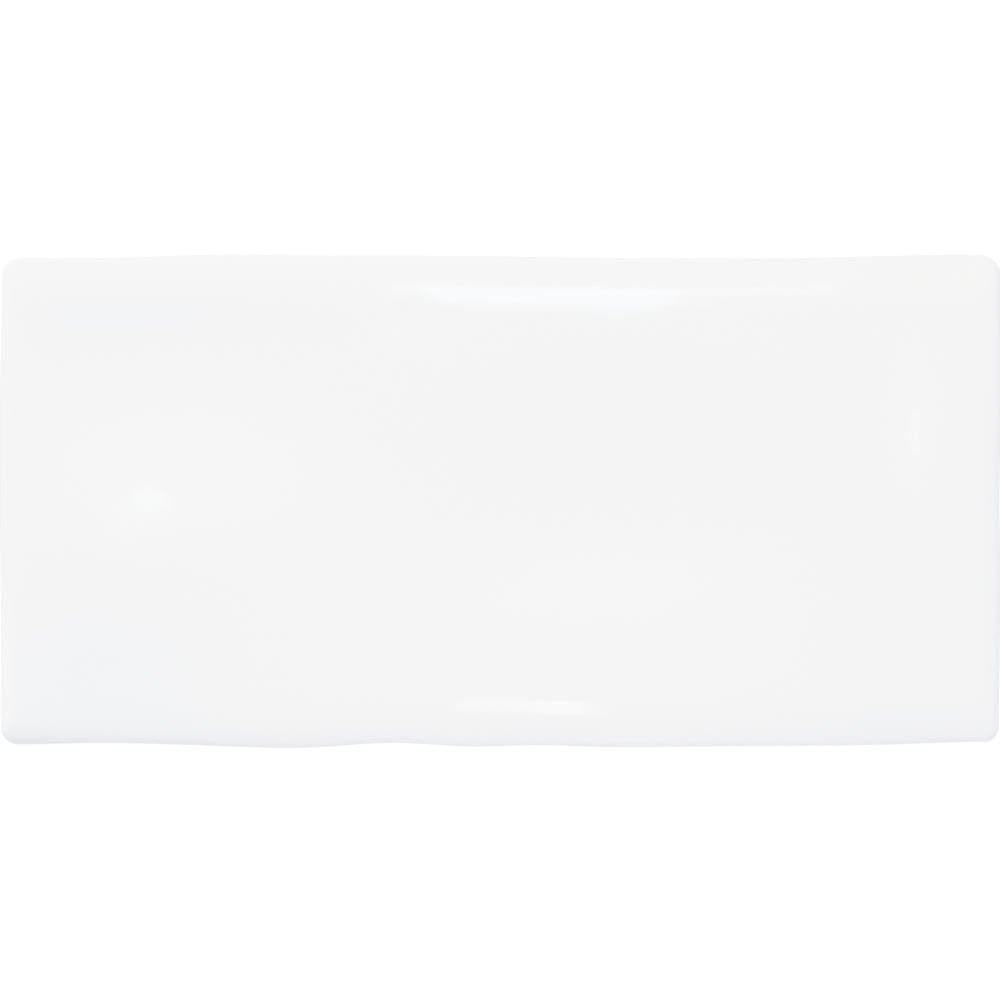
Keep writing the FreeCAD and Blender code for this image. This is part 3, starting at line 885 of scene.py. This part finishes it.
world = bpy.data.worlds.new("tent")
bpy.context.scene.world = world
world.use_nodes = True
tree = world.node_tree
tree.nodes.clear()
direction = add_node(tree, "ShaderNodeTexCoord").outputs["Generated"]
lean = add_node(tree, "ShaderNodeVectorMath", operation="DOT_PRODUCT")
tree.links.new(direction, lean.inputs[0])
lean.inputs[1].default_value = TENT_LEAN
share = add_node(tree, "ShaderNodeMapRange", {
    "Value": lean.outputs["Value"], "From Min": -1.0, "From Max": 1.0,
})
cloth = mix_colours(tree, share.outputs["Result"], TENT_DIM, TENT_BRIGHT)
tent = add_node(tree, "ShaderNodeBackground", {"Color": cloth, "Strength": 1.0})
white = add_node(tree, "ShaderNodeBackground", {"Color": (1, 1, 1, 1), "Strength": 1.0})
choice = add_node(tree, "ShaderNodeMixShader")
tree.links.new(seen_directly(tree), choice.inputs[0])
tree.links.new(tent.outputs["Background"], choice.inputs[1])
tree.links.new(white.outputs["Background"], choice.inputs[2])
surface = add_node(tree, "ShaderNodeOutputWorld")
tree.links.new(choice.outputs["Shader"], surface.inputs["Surface"])
print("the tent's red is", TENT_DIM[0], "on its dim side and", TENT_BRIGHT[0], "on its bright side")

# %% Panes of light
# How high the panes hang, in millimetres, and the two colours of their light.
PANE_HEIGHT = 500.0
COOL, PLAIN = (0.66, 0.77, 1.0), (0.95, 0.96, 1.0)
# Each pane's shape, its span in x and in y in millimetres, its brightness and its colour. White is 1.
PANES = {
    "far_pane": ("RECTANGLE", (-24.5, 48), (73, 146), 1.34, COOL),
    "far_hem": ("RECTANGLE", (-24.5, 48), (60, 73), 0.60, COOL),
    "far_fringe": ("RECTANGLE", (-24.5, 48), (146, 170), 0.58, PLAIN),
    "far_start": ("RECTANGLE", (-27.2, -24.5), (108, 172), 0.85, PLAIN),
    "far_end": ("RECTANGLE", (48, 53), (68, 148), 0.95, PLAIN),
    "far_tail": ("RECTANGLE", (53, 90), (112, 168), 0.54, PLAIN),
    "near_pane": ("RECTANGLE", (9, 22.5), (-159, -86), 1.15, PLAIN),
    "near_tail": ("RECTANGLE", (-13.5, 9), (-137, -84), 0.65, PLAIN),
    "left_spot": ("ELLIPSE", (-103.5, -92.5), (-14.5, -2.5), 0.95, COOL),
    "left_halo": ("ELLIPSE", (-112, -90), (-24, -7), 0.22, PLAIN),
    "right_streak": ("ELLIPSE", (105, 119), (10, 28), 0.62, PLAIN),
}


def hang_pane(name, shape, x, y, radiance, colour):
    """A pane of light that faces straight down, of a given brightness."""
    lamp = bpy.data.lights.new(name, "AREA")
    lamp.shape = shape
    lamp.size, lamp.size_y = (x[1] - x[0]) * MM, (y[1] - y[0]) * MM
    area = lamp.size * lamp.size_y * (1 if shape == "RECTANGLE" else np.pi / 4)
    lamp.energy = radiance * np.pi * area
    lamp.color = colour
    pane = bpy.data.objects.new(name, lamp)
    pane.location = (sum(x) / 2 * MM, sum(y) / 2 * MM, PANE_HEIGHT * MM)
    pane.visible_camera = False
    bpy.context.collection.objects.link(pane)
    print(name, "is", round(lamp.size, 3), "x", round(lamp.size_y, 3), "m,", round(lamp.energy, 4), "W")


for name, pane in PANES.items():
    hang_pane(name, *pane)

# %% [markdown]
# ## The camera
# The photograph shows no side of the tile, so the camera looks straight down from well above with a long
# lens. The tile is 150 mm long and fills the square frame's width, which gives the lens for any distance.
# The frame's middle stands a tenth of a millimetre from the tile's middle.

# %% A long lens straight above
# The photograph's side and the tile's middle in it, in pixels.
PHOTO_SIDE = 1000
TILE_MIDDLE = (500.6, 500.8)
MM_PER_PIXEL = 0.15
# How far the camera is above the rim in metres, and the width of its sensor in millimetres.
DISTANCE = 0.60
SENSOR = 36.0

camera_data = bpy.data.cameras.new("camera")
camera_data.sensor_width = SENSOR
rim_height = float(ball_height.mean())
camera_data.lens = SENSOR * DISTANCE / (PHOTO_SIDE * MM_PER_PIXEL * MM)
camera = bpy.data.objects.new("camera", camera_data)
camera.location = (
    (PHOTO_SIDE / 2 - TILE_MIDDLE[0]) * MM_PER_PIXEL * MM,
    (TILE_MIDDLE[1] - PHOTO_SIDE / 2) * MM_PER_PIXEL * MM,
    DISTANCE + rim_height * MM,
)
bpy.context.collection.objects.link(camera)
bpy.context.scene.camera = camera
bpy.context.scene.view_settings.view_transform = "Standard"
print("lens", round(camera_data.lens, 1), "mm")
